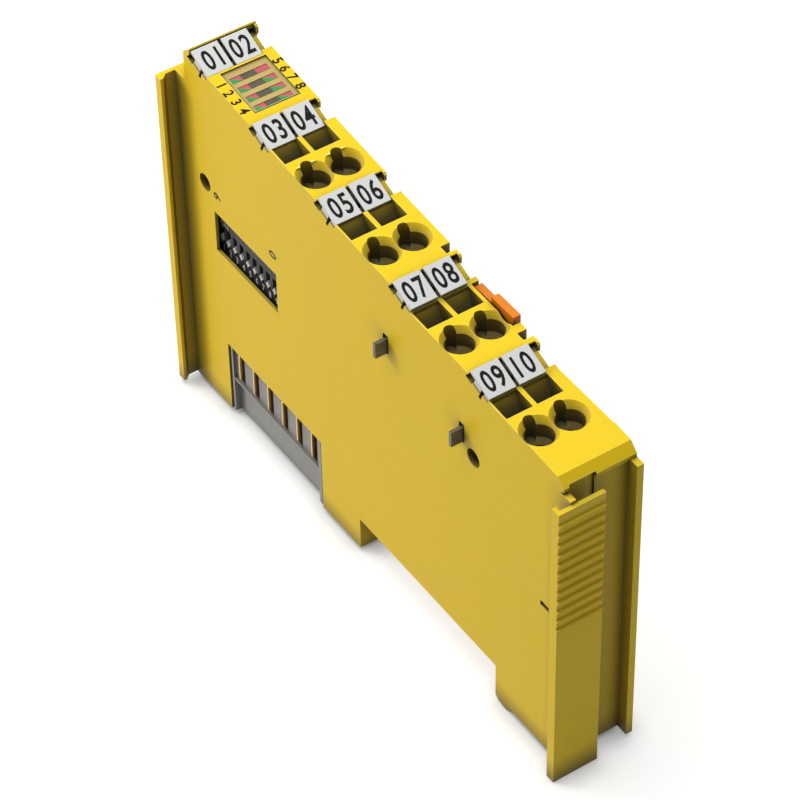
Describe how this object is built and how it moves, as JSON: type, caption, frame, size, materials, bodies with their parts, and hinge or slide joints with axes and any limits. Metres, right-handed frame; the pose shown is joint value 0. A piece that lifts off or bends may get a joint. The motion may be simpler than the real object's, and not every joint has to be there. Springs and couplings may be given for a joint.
{
  "type": "safety input module",
  "caption": "Slim yellow input module for a 35 mm mounting rail, with spring clamp wire entries, a status window, an address switch and an orange release strap.",
  "frame": {"origin": "on the plane where the module rests on the rail's top, midway between the rail's edges and midway across the 12 mm width", "axes": "X across the width, with the wall that carries the address switch at -X; +Y towards the end with the status lamps; +Z away from the rail"},
  "size_m": [0.0149, 0.1, 0.0691],
  "materials": {
    "yellow_housing": "fine satin moulded yellow",
    "strap_orange": "satin moulded orange",
    "marker_white": "matt white",
    "carrier_grey": "matt grey",
    "switch_blue": "matt moulded",
    "slider_white": "matt white",
    "window_tan": "clear tinted",
    "lamp_clear": "clear",
    "board_green": "satin solder mask",
    "chip_black": "matt moulded",
    "can_aluminium": "drawn can",
    "tinned_copper": "tinned copper strip",
    "spring_steel": "bright spring strip",
    "contact_gold": "gold plated"
  },
  "bodies": {
    "module": {"housing_body": "yellow_housing", "side_cover": "yellow_housing", "circuit_board": "board_green", "controller_chip_a": "chip_black", "controller_chip_b": "chip_black", "supply_transformer": "chip_black", "signal_isolators": "chip_black", "buffer_capacitor": "can_aluminium", "status_lamps": "lamp_clear", "status_window": "window_tan", "address_switch_body": "switch_blue", "contact_carrier": "carrier_grey", "bus_contacts": "contact_gold", "pad_carrier": "carrier_grey", "bus_pads": "contact_gold", "power_rail_far": "tinned_copper", "power_rail_near": "tinned_copper", "current_bar_1": "tinned_copper", "current_bar_2": "tinned_copper", "current_bar_3": "tinned_copper", "current_bar_4": "tinned_copper", "current_bar_5": "tinned_copper", "current_bar_6": "tinned_copper", "current_bar_7": "tinned_copper", "current_bar_8": "tinned_copper", "clamp_spring_1": "spring_steel", "clamp_spring_2": "spring_steel", "clamp_spring_3": "spring_steel", "clamp_spring_4": "spring_steel", "clamp_spring_5": "spring_steel", "clamp_spring_6": "spring_steel", "clamp_spring_7": "spring_steel", "clamp_spring_8": "spring_steel", "marker_1_left": "marker_white", "marker_1_right": "marker_white", "marker_2_left": "marker_white", "marker_2_right": "marker_white", "marker_3_left": "marker_white", "marker_3_right": "marker_white", "marker_4_left": "marker_white", "marker_4_right": "marker_white", "marker_5_left": "marker_white", "marker_5_right": "marker_white", "return_spring": "spring_steel"},
    "address_slider_1": {"address_slider_1": "slider_white"},
    "address_slider_2": {"address_slider_2": "slider_white"},
    "address_slider_3": {"address_slider_3": "slider_white"},
    "address_slider_4": {"address_slider_4": "slider_white"},
    "address_slider_5": {"address_slider_5": "slider_white"},
    "address_slider_6": {"address_slider_6": "slider_white"},
    "address_slider_7": {"address_slider_7": "slider_white"},
    "address_slider_8": {"address_slider_8": "slider_white"},
    "address_slider_9": {"address_slider_9": "slider_white"},
    "address_slider_10": {"address_slider_10": "slider_white"},
    "strap": {"release_strap": "strap_orange"},
    "latch": {"rail_latch": "strap_orange"}
  },
  "joints": [
    {"name": "address_slider_1_slide", "type": "slide", "parent": "module", "child": "address_slider_1", "axis": [0, 0, 1], "range_m": [0, 0.0015]},
    {"name": "address_slider_2_slide", "type": "slide", "parent": "module", "child": "address_slider_2", "axis": [0, 0, 1], "range_m": [0, 0.0015]},
    {"name": "address_slider_3_slide", "type": "slide", "parent": "module", "child": "address_slider_3", "axis": [0, 0, 1], "range_m": [0, 0.0015]},
    {"name": "address_slider_4_slide", "type": "slide", "parent": "module", "child": "address_slider_4", "axis": [0, 0, 1], "range_m": [0, 0.0015]},
    {"name": "address_slider_5_slide", "type": "slide", "parent": "module", "child": "address_slider_5", "axis": [0, 0, 1], "range_m": [0, 0.0015]},
    {"name": "address_slider_6_slide", "type": "slide", "parent": "module", "child": "address_slider_6", "axis": [0, 0, 1], "range_m": [0, 0.0015]},
    {"name": "address_slider_7_slide", "type": "slide", "parent": "module", "child": "address_slider_7", "axis": [0, 0, 1], "range_m": [0, 0.0015]},
    {"name": "address_slider_8_slide", "type": "slide", "parent": "module", "child": "address_slider_8", "axis": [0, 0, 1], "range_m": [0, 0.0015]},
    {"name": "address_slider_9_slide", "type": "slide", "parent": "module", "child": "address_slider_9", "axis": [0, 0, 1], "range_m": [0, 0.0015]},
    {"name": "address_slider_10_slide", "type": "slide", "parent": "module", "child": "address_slider_10", "axis": [0, 0, 1], "range_m": [0, 0.0015]},
    {"name": "strap_pull", "type": "slide", "parent": "module", "child": "strap", "axis": [0, 0, 1], "range_m": [0, 0.003], "stiffness_N_per_m": 300, "springref_m": -0.001, "deforming": ["return_spring"]},
    {"name": "latch_slide", "type": "slide", "parent": "module", "child": "latch", "axis": [0, -1, 0], "range_m": [0, 0.002]}
  ],
  "couplings": [
    {"joint": "latch_slide", "follows": "strap_pull", "ratio": 0.66667}
  ]
}
